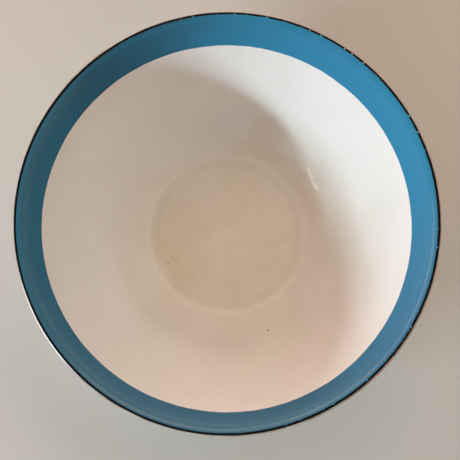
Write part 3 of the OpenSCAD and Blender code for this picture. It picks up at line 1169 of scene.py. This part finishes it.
# Painted shade: the band, and its crest most, are darker at the back left.
shaded_band = spot(tree, place, on_crest(SHADED_BAND_AZIMUTH), SHADED_BAND_REACH)
tone = tint(tree, tone, shaded_band, SHADED_BAND_SHARE, BAND_PAINTED_SHADE)
shaded_crest_mask = times(tree, masked_ring(tree, place, *SHADED_CREST), shaded_band)
tone = tint(tree, tone, shaded_crest_mask, SHADED_CREST_SHARE, BAND_PAINTED_SHADE)

# %% Band: painted sheen, rub marks and polish
SHOULDER_PAINTED_SHEEN = (0.17, 0.37, 0.40, 1.0)
BAND_RUB = (0.06, 0.25, 0.43, 1.0)
SHEENED_SHOULDER = (133.2 * MM, 135.6 * MM, 1.4 * MM, 25 * MM, 0.25)
SHOULDER_SHEEN_SIDE = (225, -0.1, 0.2, 0.15)
BAND_RUB_SHARE = 0.25
BAND_KILN_DARKNESS = 0.5
POLISHED_SHOULDER = (134.6 * MM, 150 * MM, 0.7 * MM, 25 * MM, 0.25)
POLISH_SIDE = (295, 0.2, 0.5, 0.9)

# Painted sheen: the shoulder is paler towards the front left, where it faces up to the sky.
sheen_side = rising(tree, place, *SHOULDER_SHEEN_SIDE)
tone = cover(tree, tone, masked_ring(tree, place, *SHEENED_SHOULDER), sheen_side, SHOULDER_PAINTED_SHEEN)
rub = use_group(tree, round_rub, {"Place": place, "Line Width": 0.7 * MM, "Sweep": 3.0, "Rarity": 0.60})
tone = cover(tree, tone, rub["Mark"], BAND_RUB_SHARE, BAND_RUB)
kiln = use_group(tree, iron_specks, {
    "Place": place, "Spacing": 8 * MM, "Speck Size": 0.3 * MM, "Share": 0.12})
tone = cover(tree, tone, kiln["Speck"], BAND_KILN_DARKNESS, SPECK_BROWN)
feed(tree, shader.inputs["Base Color"], tone)
roughen(tree, shader, skin, least=0.42, drift=0.12, rubs=[(rub["Mark"], 0.08)])
polish = times(tree, masked_ring(tree, place, *POLISHED_SHOULDER), rising(tree, place, *POLISH_SIDE))
feed(tree, shader.inputs["Coat Weight"], polish)
shader.inputs["Specular IOR Level"].default_value = 0.05
shader.inputs["Coat Roughness"].default_value = 0.2
shader.inputs["Coat IOR"].default_value = 1.55
press_bump(tree, shader, skin["Height"], depth=0.02 * MM)
print(f"band finish: {len(tree.nodes)} nodes")

# %% Finish of the black edging
EDGING_BLACK = (0.003, 0.003, 0.004, 1.0)
EDGING_THIN = (0.010, 0.009, 0.010, 1.0)
EDGING_CLOUDS = (0.45, 0.75)
STREAK_SHARE = 0.4

tree, shader, place = open_finish("edging_enamel", rim_line)
skin = use_group(tree, enamel_skin, {"Place": place, "Peel Size": 1.2 * MM, "Cloud Size": 6 * MM})
streaks = use_group(tree, round_rub, {"Place": place, "Line Width": 0.3 * MM, "Sweep": 9.0, "Rarity": 0.5})
tone = blend(tree, between(tree, skin["Cloud"], *EDGING_CLOUDS), EDGING_BLACK, EDGING_THIN)
tone = cover(tree, tone, streaks["Mark"], STREAK_SHARE, EDGING_THIN)
feed(tree, shader.inputs["Base Color"], tone)
roughen(tree, shader, skin, least=0.40, drift=0.2)
shader.inputs["Specular IOR Level"].default_value = 0.05
press_bump(tree, shader, skin["Height"], depth=0.03 * MM)

# %% [markdown]
# ## What lies under the coats
# The steel and the ground coats show only at the cut end of the curl, but they are real pieces, so they
# get finishes of their own: a speckled dark glass, and sheet steel with the fine grain of its rolling.

# %% Finish of the ground coats and the steel
GROUND_DARK = (0.018, 0.022, 0.036, 1.0)
GROUND_FLECK = (0.05, 0.055, 0.07, 1.0)
STEEL_GREY = (0.42, 0.43, 0.45, 1.0)
STEEL_DARK = (0.30, 0.31, 0.33, 1.0)

for node in ("inner_ground_coat", "outer_ground_coat"):
    tree, shader, place = open_finish(f"{node}_enamel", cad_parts[node])
    skin = use_group(tree, enamel_skin, {"Place": place, "Peel Size": 1.5 * MM, "Cloud Size": 5 * MM})
    flecks = use_group(tree, iron_specks, {
        "Place": place, "Spacing": 2 * MM, "Speck Size": 0.4 * MM, "Share": 0.4})
    feed(tree, shader.inputs["Base Color"], blend(tree, flecks["Speck"], GROUND_DARK, GROUND_FLECK))
    roughen(tree, shader, skin, least=0.3, drift=0.25)
    press_bump(tree, shader, skin["Height"], depth=0.03 * MM)

tree, shader, place = open_finish("rolled_steel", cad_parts["steel_shell"])
skin = use_group(tree, enamel_skin, {"Place": place, "Peel Size": 1 * MM, "Cloud Size": 20 * MM})
grain = use_group(tree, hair_scratches, {"Place": place, "Hair Width": 0.2 * MM, "Rarity": 0.5})
feed(tree, shader.inputs["Base Color"], blend(tree, grain["Scratch"], STEEL_GREY, STEEL_DARK))
roughen(tree, shader, skin, least=0.3, drift=0.2)
shader.inputs["Metallic"].default_value = 1.0

# %% [markdown]
# ## The floor
# The basin stands on a plain pale floor, wide enough that its edge is out of sight in low views. It is a
# stage and not a piece of the object, so it carries only a faint tone of its own. The lamps face the basin
# and leave the floor behind them dark, so far out it glows a little and meets the backdrop softly.

# %% Lay the floor
FLOOR_R = 6.0
FLOOR_SIDES = 96
FLOOR_GAP = 0.02 * MM

floor_mesh = bpy.data.meshes.new("pale_floor")
floor_shaper = bmesh.new()
bmesh.ops.create_circle(floor_shaper, cap_ends=True, radius=FLOOR_R, segments=FLOOR_SIDES)
floor_shaper.to_mesh(floor_mesh)
floor_shaper.free()
pale_floor = bpy.data.objects.new("pale_floor", floor_mesh)
pale_floor.location.z = cad_low.z - FLOOR_GAP
bpy.context.scene.collection.objects.link(pale_floor)
print(f"floor {2 * FLOOR_R:.0f} m across")

# %% Finish of the floor
FLOOR_PALE = (0.56, 0.58, 0.58, 1.0)
FLOOR_CLOUD = (0.53, 0.55, 0.55, 1.0)
NO_GLOW = (0.0, 0.0, 0.0, 1.0)
FAR_GLOW = (0.62, 0.61, 0.58, 1.0)
FAR_FLOOR = (4.0, 9.0, 3.0, 12 * MM, 0.0)

tree, shader, place = open_finish("pale_floor", pale_floor)
skin = use_group(tree, enamel_skin, {"Place": place, "Peel Size": 3 * MM, "Cloud Size": 0.3})
feed(tree, shader.inputs["Base Color"], blend(tree, skin["Cloud"], FLOOR_PALE, FLOOR_CLOUD))
roughen(tree, shader, skin, least=0.6, drift=0.1)
glowing = masked_ring(tree, place, *FAR_FLOOR)
feed(tree, shader.inputs["Emission Color"], blend(tree, glowing, NO_GLOW, FAR_GLOW))
shader.inputs["Emission Strength"].default_value = 1.0
